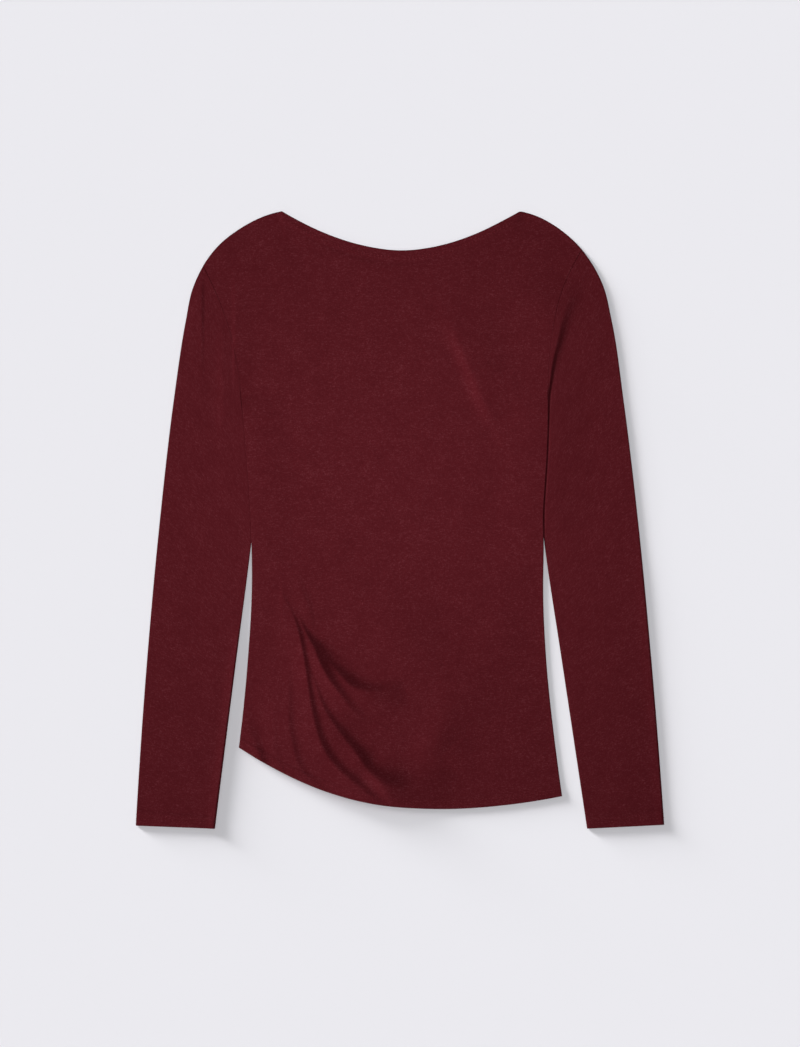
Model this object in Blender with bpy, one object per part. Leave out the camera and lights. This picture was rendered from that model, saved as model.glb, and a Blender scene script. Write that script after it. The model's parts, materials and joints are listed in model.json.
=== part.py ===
"""Long-sleeve jersey top with a boat neck and a draped hip, laid flat with its front up.

Metres, +Z up. The top lies on the plane z = 0 with its neck towards +Y, and the origin is the
bottom centre of its box. Each sewn piece is one closed solid: a front, a back and two sleeves.
Left and right are as seen from above.
"""

import bpy
import numpy as np

# Cloth
CLOTH = 0.0012  # one layer of jersey
TURNING = 0.0006  # what an edge turned under adds once it is pressed
GAP = 0.0003  # least clearance at seams and between layers
LAYER_GAP = 0.00036  # between the front and the back along their edges
SEAM_GAP = 0.00055  # along the curved armholes
JERSEY_COLOR = (0.080, 0.0097, 0.0137, 1.0)
JERSEY_ROUGHNESS = 0.95
SHARP_ANGLE = np.radians(40)

# Body outline, each stretch a smooth curve through its points (x, y), from the hem upwards
# or from left to right
HEM = (
    (-0.1683, -0.2380),
    (-0.1480, -0.2505),
    (-0.1175, -0.2670),
    (-0.0770, -0.2840),
    (-0.0270, -0.2969),
    (0.0400, -0.3022),
    (0.1080, -0.2983),
    (0.1693, -0.2887),
)
LEFT_SIDE = (
    (-0.1683, -0.2380),
    (-0.1590, -0.1460),
    (-0.1547, -0.0680),
    (-0.1553, -0.0150),
    (-0.1609, 0.0734),
    (-0.1664, 0.1340),
)
LEFT_ARMHOLE = (
    (-0.1664, 0.1340),
    (-0.1715, 0.1700),
    (-0.1797, 0.2040),
    (-0.1881, 0.2281),
    (-0.1965, 0.2475),
    (-0.2056, 0.2657),
)
RIGHT_SIDE = (
    (0.1693, -0.2887),
    (0.1628, -0.2400),
    (0.1528, -0.1460),
    (0.1497, -0.0830),
    (0.1505, -0.0260),
    (0.1536, 0.0630),
    (0.1545, 0.1340),
)
RIGHT_ARMHOLE = (
    (0.1545, 0.1340),
    (0.1594, 0.1973),
    (0.1672, 0.2333),
    (0.1777, 0.2594),
    (0.1902, 0.2824),
)
LEFT_SHOULDER = (
    (-0.2056, 0.2657),
    (-0.1888, 0.2877),
    (-0.1690, 0.3034),
    (-0.1507, 0.3138),
    (-0.1378, 0.3191),
    (-0.1233, 0.3227),
)
NECKLINE = (
    (-0.1233, 0.3227),
    (-0.1076, 0.3138),
    (-0.0740, 0.2981),
    (-0.0415, 0.2877),
    (0.0015, 0.2818),
    (0.0450, 0.2877),
    (0.0765, 0.2981),
    (0.1092, 0.3138),
    (0.1254, 0.3227),
)
RIGHT_SHOULDER = (
    (0.1254, 0.3227),
    (0.1392, 0.3191),
    (0.1678, 0.3034),
    (0.1902, 0.2824),
)

# Sleeve outline from the cuff upwards: the outer fold as far as the shoulder and the inner
# fold as far as the underarm, where both run into the armhole
LEFT_OUTER = (
    (-0.2760, -0.3195),
    (-0.2642, -0.1460),
    (-0.2508, 0.0003),
    (-0.2363, 0.1257),
    (-0.2236, 0.2093),
    (-0.2170, 0.2406),
)
LEFT_INNER = (
    (-0.1933, -0.3227),
    (-0.1710, -0.1460),
    (-0.1568, -0.0363),
    (-0.1535, -0.0080),
    (-0.1513, 0.0200),
    (-0.1550, 0.0620),
    (-0.1647, 0.1000),
)
RIGHT_OUTER = (
    (0.2760, -0.3185),
    (0.2626, -0.1460),
    (0.2463, 0.0212),
    (0.2335, 0.1257),
    (0.2210, 0.2093),
    (0.2119, 0.2459),
)
RIGHT_INNER = (
    (0.1954, -0.3227),
    (0.1689, -0.1460),
    (0.1524, -0.0363),
    (0.1490, -0.0100),
    (0.1460, 0.0200),
    (0.1480, 0.0620),
    (0.1553, 0.1000),
)

# Each body edge lies on the inner fold of a sleeve between these heights along Y, and it
# climbs onto the fold and comes down again over the stretches at both ends
CLIMB = (-0.060, -0.026)
DESCENT = (0.097, 0.132)
RIDE = 2 * CLOTH + 2 * GAP  # how high the flattened sleeve holds that edge
BACK_RIDE = (0.0085, 0.0150)  # the back is level this far in from its edge, and then down
FRONT_RIDE = (0.0085, 0.0600)

# The front stands a little off the back in its middle, and a sleeve's top off its bottom
FRONT_LOFT = 0.0008
FRONT_LOFT_REACH = 0.050
SLEEVE_LOFT = 0.0015
CUFF_LOFT = 0.3  # as a share of the sleeve's

# Edges turned under, as shares of each piece's length, and the step at their inner side
HEM_SHARE, NECK_SHARE, CUFF_SHARE = 0.022, 0.024, 0.022
STEP_SHARE = 0.004
CLEAR_SHARE = (0.032, 0.070)  # the front is level this far above a turned edge, and then down
TIP_FADE = 0.045  # the top edge's turning runs out this near the armholes

# Where the top edge meets the neck, as shares of its length, and where the side edges meet
# the armholes
NECK_FROM, NECK_TO = 0.23, 0.82
UNDERARM = 0.70
BACK_SHORT = 0.004  # the back ends this share short of the front, so that it stays under it

# Soft ridges that fall from the tuck at the left hip: (name, where it starts, where it
# bends, where it ends, height, half width, share of the height left at its end)
FOLDS = (
    ("side", (-0.128, -0.120), (-0.134, -0.200), (-0.118, -0.262), 0.0018, 0.013, 0.5),
    ("inner", (-0.111, -0.104), (-0.109, -0.198), (-0.056, -0.286), 0.0034, 0.012, 0.6),
    ("narrow", (-0.097, -0.146), (-0.083, -0.212), (-0.024, -0.276), 0.0024, 0.009, 0.7),
    ("middle", (-0.099, -0.114), (-0.077, -0.186), (-0.010, -0.248), 0.0050, 0.013, 0.4),
    ("outer", (-0.084, -0.136), (-0.060, -0.170), (0.010, -0.198), 0.0042, 0.011, 0.2),
    ("upper", (-0.106, -0.088), (-0.080, -0.138), (0.024, -0.158), 0.0030, 0.014, 0.1),
)
FOLD_RISE = 0.25  # the share of its length over which a fold comes up

# Where the meshes have their lines, as shares across and along each piece
EDGE_COLUMNS = (0.0, 0.013, 0.028, 0.049)
FAR_COLUMNS = tuple(1 - share for share in reversed(EDGE_COLUMNS))
FRONT_COLUMNS = (
    *EDGE_COLUMNS,
    *np.linspace(0.07, NECK_FROM, 9),
    *np.linspace(NECK_FROM, 0.49, 14)[1:],
    *(0.53, 0.60, 0.67, 0.745, NECK_TO, 0.89),
    *FAR_COLUMNS,
)
BACK_COLUMNS = (*EDGE_COLUMNS, 0.12, NECK_FROM, 0.38, 0.53, 0.67, NECK_TO, 0.89, *FAR_COLUMNS)
HEM_ROWS = (0.0, HEM_SHARE, HEM_SHARE + STEP_SHARE)
NECK_ROWS = (1 - NECK_SHARE - STEP_SHARE, 1 - NECK_SHARE, 1.0)
UPPER_ROWS = (0.330, 0.345, *np.linspace(0.36, 0.93, 14), *NECK_ROWS)
FRONT_ROWS = (*HEM_ROWS, *np.linspace(0.040, 0.315, 19), *UPPER_ROWS)
BACK_ROWS = (*HEM_ROWS, 0.11, 0.22, *UPPER_ROWS)
CUFF_ROWS = (0.0, CUFF_SHARE, CUFF_SHARE + STEP_SHARE)
SHOULDER_ROWS = (0.945, 0.965, 0.983, 1.0)
SLEEVE_ROWS = (
    *CUFF_ROWS,
    *np.linspace(0.10, 0.60, 7),
    *np.linspace(0.64, 0.92, 9),
    *SHOULDER_ROWS,
)

# A sleeve's section: (share of the way from its inner to its outer fold, share of its loft)
SLEEVE_TOP = ((0.13, 0.0), (0.26, 0.6), (0.44, 1.0), (0.64, 1.0), (0.82, 0.6), (0.93, 0.2))
SLEEVE_BOTTOM = (0.33, 0.67)
FOLD_ANGLES = np.radians((-90, -45, 0, 45, 90))  # round a folded edge, from bottom to top


def ease(value, start, end):
    """A smooth step from 0 at start to 1 at end, which may be the smaller of the two."""
    share = np.clip((value - start) / (end - start), 0, 1)
    return share * share * (3 - 2 * share)


def smooth(points, per_span=12):
    """Points close together on the smooth curve through the given ones."""
    points = np.array(points, float)
    lengths = np.linalg.norm(np.diff(points, axis=0), axis=1)
    stations = np.concatenate(([0.0], np.cumsum(lengths)))
    slopes = np.gradient(points, stations, axis=0, edge_order=2)
    curve = [points[:1]]
    for i, length in enumerate(lengths):
        t = np.linspace(0, 1, per_span + 1)[1:, None]
        curve.append(
            (2 * t**3 - 3 * t**2 + 1) * points[i]
            + (t**3 - 2 * t**2 + t) * length * slopes[i]
            + (3 * t**2 - 2 * t**3) * points[i + 1]
            + (t**3 - t**2) * length * slopes[i + 1]
        )
    return np.concatenate(curve)


def shifted(line, distance):
    """The line moved sideways, to its left where distance is positive."""
    ways = np.gradient(line, axis=0)
    ways /= np.linalg.norm(ways, axis=1)[:, None]
    return line + distance * np.stack((-ways[:, 1], ways[:, 0]), axis=1)


def edge(lines, breaks=()):
    """A function from shares of an edge to its plan points; its lines meet at the breaks."""
    stops = (0.0, *breaks, 1.0)
    shares = []
    for line, start, end in zip(lines, stops, stops[1:]):
        run = np.concatenate(([0.0], np.cumsum(np.linalg.norm(np.diff(line, axis=0), axis=1))))
        shares.append(start + (end - start) * run / run[-1])
    shares, points = np.concatenate(shares), np.concatenate(lines)
    return lambda at: np.stack([np.interp(at, shares, points[:, k]) for k in (0, 1)], axis=-1)


def patch(edges, columns, rows):
    """Plan points of a grid between bottom, top, left and right edges, from the bottom up."""
    u, v = np.array(columns), np.array(rows)
    bottom, top = (each(u)[None] for each in edges[:2])
    left, right = (each(v)[:, None] for each in edges[2:])
    ends = [each(np.array((0.0, 1.0))) for each in edges[:2]]
    u, v = u[None, :, None], v[:, None, None]
    corners = (1 - v) * ((1 - u) * ends[0][0] + u * ends[0][1])
    corners = corners + v * ((1 - u) * ends[1][0] + u * ends[1][1])
    return (1 - v) * bottom + v * top + (1 - u) * left + u * right - corners


def solid(name, points, faces):
    """A named object with a closed mesh."""
    mesh = bpy.data.meshes.new(name)
    mesh.from_pydata([tuple(point) for point in points], [], faces)
    material = bpy.data.materials.new(name)
    material.use_nodes = True
    shader = material.node_tree.nodes["Principled BSDF"]
    shader.inputs["Base Color"].default_value = JERSEY_COLOR
    shader.inputs["Roughness"].default_value = JERSEY_ROUGHNESS
    shader.inputs["Metallic"].default_value = 0.0
    mesh.materials.append(material)
    mesh.shade_smooth()
    mesh.set_sharp_from_angle(angle=SHARP_ANGLE)
    bpy.context.scene.collection.objects.link(bpy.data.objects.new(name, mesh))


def halves(points, a, b, c, d):
    """A four-sided face as two triangles across its shorter diagonal."""
    if np.linalg.norm(points[a] - points[c]) <= np.linalg.norm(points[b] - points[d]):
        return [(a, b, c), (a, c, d)]
    return [(a, b, d), (b, c, d)]


# Body panels


def body_edges():
    """The hem, the top edge and the two side edges, each with its armhole."""
    top = [smooth(line) for line in (LEFT_SHOULDER, NECKLINE, RIGHT_SHOULDER)]
    left = [smooth(line) for line in (LEFT_SIDE, LEFT_ARMHOLE)]
    right = [smooth(line) for line in (RIGHT_SIDE, RIGHT_ARMHOLE)]
    return (
        edge([smooth(HEM)]),
        edge(top, (NECK_FROM, NECK_TO)),
        edge(left, (UNDERARM,)),
        edge(right, (UNDERARM,)),
    )


def from_side(plan):
    """How far each plan point lies from the nearer side edge."""
    lines = np.concatenate([smooth(line) for line in (LEFT_SIDE, RIGHT_SIDE)])
    return np.linalg.norm(plan[..., None, :] - lines, axis=-1).min(axis=-1)


def ride(plan, level, down):
    """How far a panel is held up where its edge lies on a sleeve."""
    along = plan[..., 1]
    on_sleeve = ease(along, *CLIMB) * ease(along, *reversed(DESCENT))
    return RIDE * on_sleeve * ease(from_side(plan), down, level)


def turned(columns, rows, start, end):
    """1 at the turned hem and top edge, falling to 0 between these shares from them."""
    u, v = np.array(columns)[None], np.array(rows)[:, None]
    hem = ease(v, end, start)
    top = ease(1 - v, end, start) * ease(np.minimum(u, 1 - u), 0, TIP_FADE)
    return np.maximum(hem, top)


def fold_height(plan, start, bend, end, height, half_width, left_at_end):
    """The height field of one soft ridge along a bent line."""
    t = np.linspace(0, 1, 60)[:, None]
    start, bend, end = (np.array(point) for point in (start, bend, end))
    line = (1 - t) ** 2 * start + 2 * t * (1 - t) * bend + t**2 * end
    apart = np.linalg.norm(plan[..., None, :] - line, axis=-1)
    share = t[apart.argmin(axis=-1), 0]
    across = np.cos(np.pi / 2 * np.clip(apart.min(axis=-1) / half_width, 0, 1)) ** 2
    along = ease(share, 0, FOLD_RISE) * (1 - (1 - left_at_end) * share)
    return height * across * along


def panel(name, plan, underside, topside):
    """A wall between two height fields over the same grid of plan points."""
    rows, columns = underside.shape
    low = np.dstack((plan, underside)).reshape(-1, 3)
    points = np.concatenate((low, np.dstack((plan, topside)).reshape(-1, 3)))
    index = np.arange(rows * columns).reshape(rows, columns)
    above = rows * columns
    faces = []
    for i in range(rows - 1):
        for j in range(columns - 1):
            corners = index[i, j], index[i, j + 1], index[i + 1, j + 1], index[i + 1, j]
            for a, b, c in halves(points, *corners):
                faces += [(a + above, b + above, c + above), (c, b, a)]
    rim = [*index[0], *index[1:, -1], *index[-1, -2::-1], *index[-2:0:-1, 0]]
    for a, b in zip(rim, rim[1:] + rim[:1]):
        faces += halves(points, a, b, b + above, a + above)
    solid(name, points, faces)


def back_panel():
    columns = (BACK_SHORT, *BACK_COLUMNS[1:-1], 1 - BACK_SHORT)
    rows = (BACK_SHORT, *BACK_ROWS[1:-1], 1 - BACK_SHORT)
    plan = patch(body_edges(), columns, rows)
    underside = ride(plan, *BACK_RIDE)
    wall = CLOTH + TURNING * turned(BACK_COLUMNS, BACK_ROWS, HEM_SHARE, HEM_SHARE + STEP_SHARE)
    panel("back_panel", plan, underside, underside + wall)


def front_panel():
    plan = patch(body_edges(), FRONT_COLUMNS, FRONT_ROWS)
    v = np.array(FRONT_ROWS)[:, None]
    middle = ease(np.minimum(v, 1 - v), 0, 0.12) * ease(from_side(plan), 0, FRONT_LOFT_REACH)
    folds = [fold_height(plan, *fold[1:]) for fold in FOLDS]
    underside = CLOTH + LAYER_GAP + ride(plan, *FRONT_RIDE) + FRONT_LOFT * middle
    underside += TURNING * turned(FRONT_COLUMNS, FRONT_ROWS, *CLEAR_SHARE)
    underside += np.maximum.reduce(folds)
    wall = CLOTH + TURNING * turned(FRONT_COLUMNS, FRONT_ROWS, HEM_SHARE, HEM_SHARE + STEP_SHARE)
    panel("front_panel", plan, underside, underside + wall)


# Sleeves


def loops(width, wall, loft):
    """A flattened tube's outer and inner loops as (across, up), from its inner fold."""
    radius = wall + GAP / 2
    flat = width - 2 * radius
    result = []
    for turn in (radius, GAP / 2):
        floor = radius - turn
        near = [(radius - turn * np.cos(a), radius - turn * np.sin(a)) for a in FOLD_ANGLES]
        bottom = [(radius + share * flat, floor) for share in SLEEVE_BOTTOM]
        far = [
            (width - radius + turn * np.cos(a), radius + turn * np.sin(a)) for a in FOLD_ANGLES
        ]
        top = [
            (radius + share * flat, radius + turn + loft * rise) for share, rise in SLEEVE_TOP
        ]
        result.append(near + bottom + far + top[::-1])
    return result


def sleeve(name, outer, inner, armhole, side):
    """A flattened tube from the cuff to the armhole; side is -1 at the left, 1 at the right."""
    seam = shifted(smooth(armhole), -side * SEAM_GAP)
    outer = edge([smooth((*outer, tuple(seam[-1])))])
    inner = edge([smooth((*inner, tuple(seam[0])))])
    cuff = edge([np.array((inner(0.0), outer(0.0)))])
    rings = []
    for v in SLEEVE_ROWS:
        across = patch((cuff, edge([seam]), inner, outer), np.linspace(0, 1, 30), [v])[0]
        width = np.linalg.norm(np.diff(across, axis=0), axis=1).sum()
        turning = TURNING * ease(v, CUFF_SHARE + STEP_SHARE, CUFF_SHARE)
        loft = SLEEVE_LOFT * ease(1 - v, 0, 0.25) * (CUFF_LOFT + (1 - CUFF_LOFT) * ease(v, 0, 0.2))
        ring = np.array(loops(width, CLOTH + turning, loft)).reshape(-1, 2)
        plan = patch((cuff, edge([seam]), inner, outer), ring[:, 0] / width, [v])[0]
        rings.append(np.column_stack((plan, ring[:, 1])))
    points = np.concatenate(rings)
    size = len(rings[0]) // 2
    faces = []
    for i in range(len(rings) - 1):
        for k in range(size):
            a, b = 2 * size * i + k, 2 * size * i + (k + 1) % size
            faces += halves(points, a, b, b + 2 * size, a + 2 * size)
            faces += halves(points, b + size, a + size, a + 3 * size, b + 3 * size)
    for start, step in ((0, 1), (2 * size * (len(rings) - 1), -1)):
        for k in range(size):
            a, b = start + k, start + (k + 1) % size
            faces += halves(points, *(a + size, b + size, b, a)[::step])
    if side > 0:
        faces = [face[::-1] for face in faces]
    solid(name, points, faces)


def clear_scene():
    for item in list(bpy.data.objects):
        bpy.data.objects.remove(item)


clear_scene()
back_panel()
front_panel()
sleeve("sleeve_left", LEFT_OUTER, LEFT_INNER, LEFT_ARMHOLE, -1)
sleeve("sleeve_right", RIGHT_OUTER, RIGHT_INNER, RIGHT_ARMHOLE, 1)
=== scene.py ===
"""Long-sleeve jersey top with a boat neck and a draped hip, laid flat with its front up.

Front, back and sleeves are closed shells of thin jersey with rounded, turned edges and soft
creases, sewn with coverstitched hems. Metres, +Z up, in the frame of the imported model, with the
neck towards +Y. Left and right are as seen from above.
"""

import json

import bpy
import numpy as np
from bpy.props import FloatProperty, FloatVectorProperty, PointerProperty
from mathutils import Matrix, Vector

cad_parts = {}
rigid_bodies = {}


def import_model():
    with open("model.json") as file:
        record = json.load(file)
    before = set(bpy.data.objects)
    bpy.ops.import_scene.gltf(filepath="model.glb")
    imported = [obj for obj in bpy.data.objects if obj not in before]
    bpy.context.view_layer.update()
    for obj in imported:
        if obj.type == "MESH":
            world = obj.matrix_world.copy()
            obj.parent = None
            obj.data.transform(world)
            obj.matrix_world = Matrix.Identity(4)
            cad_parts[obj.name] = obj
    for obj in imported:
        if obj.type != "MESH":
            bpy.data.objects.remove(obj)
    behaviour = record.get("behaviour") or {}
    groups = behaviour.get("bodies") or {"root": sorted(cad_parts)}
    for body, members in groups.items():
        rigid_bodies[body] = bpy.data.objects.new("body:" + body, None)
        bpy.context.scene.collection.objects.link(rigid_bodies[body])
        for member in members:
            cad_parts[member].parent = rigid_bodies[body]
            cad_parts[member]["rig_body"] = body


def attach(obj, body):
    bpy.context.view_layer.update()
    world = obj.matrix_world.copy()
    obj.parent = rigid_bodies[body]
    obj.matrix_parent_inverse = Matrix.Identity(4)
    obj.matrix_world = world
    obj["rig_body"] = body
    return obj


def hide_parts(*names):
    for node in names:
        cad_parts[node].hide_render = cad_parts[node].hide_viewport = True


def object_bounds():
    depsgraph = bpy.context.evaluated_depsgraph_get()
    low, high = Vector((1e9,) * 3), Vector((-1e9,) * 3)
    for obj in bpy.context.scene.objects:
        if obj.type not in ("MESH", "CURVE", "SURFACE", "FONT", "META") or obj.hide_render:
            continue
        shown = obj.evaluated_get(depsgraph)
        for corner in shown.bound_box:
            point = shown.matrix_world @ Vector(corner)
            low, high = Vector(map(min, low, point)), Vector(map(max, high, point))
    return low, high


bl_info = {
    "name": "Jersey Top",
    "version": (1, 0, 0),
    "blender": (4, 5, 0),
    "location": "View3D > Sidebar > Jersey Top",
    "description": "Builds a draped long-sleeve jersey top around its packed solids",
    "category": "Add Mesh",
}

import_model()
CAD_BOX = [list(corner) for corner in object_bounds()]
BOX_LOW, BOX_HIGH = (Vector(corner) for corner in CAD_BOX)
MILLIMETRES = 1000  # in a metre

# Body outline, each stretch a smooth curve through its points (x, y), from the hem upwards
# or from left to right
HEM = (
    (-0.1683, -0.2374), (-0.148, -0.2499), (-0.1175, -0.2664), (-0.077, -0.2834), (-0.027, -0.2963),
    (0.04, -0.3016), (0.108, -0.2977), (0.1693, -0.2881),
)
LEFT_SIDE = (
    (-0.1683, -0.2374), (-0.159, -0.146), (-0.1547, -0.068), (-0.1553, -0.015), (-0.1609, 0.0734),
    (-0.1664, 0.134),
)
LEFT_ARMHOLE = (
    (-0.1664, 0.134), (-0.1715, 0.17), (-0.1797, 0.204), (-0.1881, 0.2281), (-0.1965, 0.2475),
    (-0.2056, 0.2657),
)
RIGHT_SIDE = (
    (0.1693, -0.2881), (0.1628, -0.24), (0.1528, -0.146), (0.1497, -0.083), (0.15, -0.026),
    (0.1497, 0.008), (0.1518, 0.042), (0.1537, 0.073), (0.1545, 0.134),
)
RIGHT_ARMHOLE = (
    (0.1545, 0.134), (0.1594, 0.1973), (0.1672, 0.2333), (0.1777, 0.2594), (0.1902, 0.2824),
)
LEFT_SHOULDER = (
    (-0.2056, 0.2657), (-0.1888, 0.2877), (-0.169, 0.3034), (-0.1507, 0.3138), (-0.1378, 0.3191),
    (-0.1233, 0.3227),
)
NECKLINE = (
    (-0.1233, 0.3227), (-0.1076, 0.3138), (-0.074, 0.2981), (-0.0415, 0.2877), (0.0015, 0.2818),
    (0.045, 0.2877), (0.0765, 0.2981), (0.1092, 0.3138), (0.1254, 0.3227),
)
RIGHT_SHOULDER = ((0.1254, 0.3227), (0.1392, 0.3191), (0.1678, 0.3034), (0.1902, 0.2824))

# Sleeve outline from the cuff upwards: the outer fold as far as the shoulder, and the inner
# fold as far as it lies under the body, past which it follows the body's edge
LEFT_OUTER = (
    (-0.276, -0.3189), (-0.2642, -0.146), (-0.2508, 0.0003), (-0.2363, 0.1257), (-0.2236, 0.2093),
    (-0.217, 0.2406),
)
LEFT_INNER = (
    (-0.1933, -0.3221), (-0.171, -0.146), (-0.1568, -0.0363), (-0.1535, -0.008), (-0.1513, 0.02),
    (-0.1535, 0.05), (-0.1578, 0.08), (-0.1614, 0.1), (-0.1643, 0.116),
)
RIGHT_OUTER = (
    (0.276, -0.318), (0.2626, -0.146), (0.2463, 0.0212), (0.2335, 0.1257), (0.221, 0.2093),
    (0.2119, 0.2459),
)
RIGHT_INNER = (
    (0.1954, -0.3221), (0.1689, -0.146), (0.1524, -0.0363), (0.149, -0.01), (0.145, 0.02),
    (0.1464, 0.05), (0.1495, 0.08), (0.1518, 0.1), (0.1536, 0.116),
)

# Where the top edge meets the neck and the side edges meet the armholes, as shares of each
NECK_FROM, NECK_TO = 0.23, 0.82
NECK_START = 0.01  # the share of the width over which the neck's turning starts
UNDERARM = 0.7

# Over these stretches of Y each body edge climbs onto a sleeve's inner fold and comes down
CLIMB = (-0.06, -0.026)
DESCENT = (0.114, 0.134)
INNER_MEETS_BODY = 0.127  # above this the sleeve's inner fold lies beside the body
BACK_RIDE = (0.0085, 0.015)  # the back is level this far in from its edge, and then down
FRONT_RIDE = (0.0085, 0.06)

LAYER_GAP = 0.00015  # between two layers that lie on each other
TUBE_GAP = 0.0003  # inside a flattened sleeve
SEAM_GAP = -0.00002  # between a sleeve's edge and the armhole, which are sewn together
# How far up an armhole seam's outermost line lies, as a share of the wall, at heights along
# Y. At 1 the seam has faded out.
LEFT_SEAM = ((0.186, 0.202, 0.222, 0.262), (1.0, 1.0, 0.74, 0.45))
RIGHT_SEAM = ((0.134, 0.195, 0.215, 0.28), (0.92, 0.78, 0.52, 0.4))
SEAM_MEETS_SIDE = ((0.116, 0.124), (0.132, 0.14))  # left and right, where it begins along Y
SEAM_REACH = (0.006, 0.003)  # a panel's heights come to the seam between these distances from it
SEAM_FULL = 0.6  # and they do so in full where the seam's share is this

HEM_DEPTH, NECK_DEPTH, CUFF_DEPTH = 0.01, 0.0132, 0.013  # how far the edges turn under
STEP = 0.0022  # over this the cloth comes down from a turned edge
TURNED_JOIN = 0.4  # how far up a turned edge's outermost line lies, as a share of the wall
END_REACH = 0.002  # a panel's side edges come to that line this near a turned edge
TURNING_REACH = 0.004  # a turned cuff comes up to its full thickness this far from a fold
EDGE_ROUND = 0.0009  # a piece's edge curves down over this
CLEARANCE_REACH = 0.03  # the front comes down to the back this far in from a turned edge
FRONT_LOFT = 0.0007  # how far the front's middle stands off the back
FRONT_LOFT_REACH = (0.05, 0.07)  # it comes up over this, from the sides and from the ends
FOLLOW_LINES, FOLLOW_SHARE = 4, 0.8  # the front's hidden side follows this share of its folds
# The cloth rises past the turned neck and lies down again over these depths from the top edge,
# and the rise fades over this share of the width at both ends of the neck
NECK_RISE, NECK_FADE = 0.0008, 0.16
NECK_UP, NECK_DOWN = (NECK_DEPTH - 0.001, NECK_DEPTH + 0.009), (0.1, 0.03)
UNDERSIDE_DEPTH = 0.00035  # the deepest that a crease runs into a flat underside
TROUGH_REACH = 0.02  # the back's troughs fade out this near its edge

# A sleeve's stiffer fold, right and left, stands up this far and over this width, starting
# close to the fold, where the sleeve is this far below the armhole
STIFF_FOLD, STIFF_REACH = (0.0007, 0.0018), 0.007
STIFF_START, STIFF_FREE = (0.0001, 0.0018), (0.26, 0.32)
FOLD_LIFT = 0.85  # how much of the way to its top the left sleeve's pressed fold is lifted
PRESSED_REACH = (0.002, 0.001)  # it is pressed this near to the fold
FOLD_FADE, PUFF_FADE = (0.0005, 0.012), (0.0002, 0.0016)  # creases fade out towards a fold
CUFF_LOFT, CUFF_LOFT_REACH = 0.0003, 0.05  # how far a cuff gapes, and how far up the sleeve
BETWEEN_FOLDS = (0.04, 0.2)  # shares of a sleeve's width from a fold

STITCH_PITCH, STITCH_SHARE = 0.0036, 0.62  # along a row, and the share that shows
STITCH_RADIUS = 0.00032
# A stitch's thickness and its height along its length, in radii
STITCH_PROFILE, STITCH_ARCH = (0.35, 0.9, 1.0, 0.9, 0.35), (-0.9, 0.0, 0.35, 0.0, -0.9)
HEM_ROWS, NECK_ROWS, CUFF_ROWS = (0.0056, 0.0082), (0.009, 0.0115), (0.0066, 0.0108)
HEM_SEWN, NECK_SEWN = (0.012, 0.988), (0.25, 0.8)  # where the rows end, as shares of the width
ROW_POINTS = 900  # along each row, before it is cut into stitches
CURVE_STEPS = 12  # between each two points of a smooth curve
THREAD_LIGHTNESS = 1.5  # the thread's yarns are this much lighter than the cloth's
COURSE_SHARE = 0.8  # the height of a stitch of the knit as a share of its width
FULL_TURN = 6.2832

# What each piece was cut to before it was sewn: its box and its flat area
PANEL_CUT, PANEL_AREA = (0.396, 0.625), 0.192
SLEEVE_CUT, SLEEVE_AREA = (0.19, 0.59), 0.097

# The stage: where the lamps hang, the low light's way and its two halves' heights and shares,
# the plain backdrop, and a camera whose view is centred a little towards the hem
KEY_PLACE, FILL_PLACE, TOP_PLACE = (-3.8, -1.69, 2.4), (-0.1, 0.85, 0.6), (0.0, 0.06, 0.4)
GRAZE_PLACE, STEEP_GRAZE, LOW_GRAZE = (-7.75, 6.3), (1.6, 0.322), (0.7, 0.604)
BACKDROP = (0.831, 0.823, 0.863)
FLOOR_REACH, FLOOR_GAP = 30.0, 0.0001
SENSOR, VIEW_CENTRE_Y = 36.0, -0.0034


def spaced(stops, counts):
    """Shares from 0 to 1 with a number of even steps between each two stops."""
    spans = zip(stops, stops[1:], counts)
    return np.concatenate([[0.0]] + [np.linspace(a, b, n + 1)[1:] for a, b, n in spans])


CLOTH_FACES = (0.003, 0.001)  # the depth of an underside and of a top in the pattern of yarns
# The lines of each mesh's fine side, as shares across and along the piece
THIN_OUT = 4  # the hidden side keeps every fourth line
FRONT_COLUMNS = spaced((0, 0.0042, 0.06, 0.58, 0.9958, 1), (4, 8, 168, 56, 4))
FRONT_ROWS = spaced((0, 0.0022, 0.4, 0.9978, 1), (4, 240, 128, 4))
BACK_COLUMNS = spaced((0, 0.0042, 0.9958, 1), (4, 120, 4))
BACK_ROWS = spaced((0, 0.0022, 0.9978, 1), (4, 240, 4))
SLEEVE_ROWS = spaced((0, 0.0022, 0.9978, 1), (4, 432, 4))
FOLD_STEPS = 8  # round each fold of a sleeve
SLEEVE_TOP = spaced((0, 0.16, 1), (44, 72))  # lines on its top, from the inner fold
SLEEVE_BOTTOM = spaced((0, 1), (40,))

# Low mounds of loose cloth, in millimetres: (name, centre, half lengths, turn in degrees, height)
HIP_MOUNDS = (
    ("rise", (-5, -120), (58, 40), -35, 3.4),
    ("dish", (16, -195), (52, 40), 0, 2.4),
    ("rim_top", (56, -176), (30, 24), 80, 1.8),
    ("rim_low", (44, -217), (26, 20), 60, 2.2),
    ("rim_side", (84, -164), (50, 26), 70, 1.7),
    ("rim_foot", (33, -235), (20, 16), 35, 3),
    ("side", (-128, -200), (55, 30), 90, 1.4),
)
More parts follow.
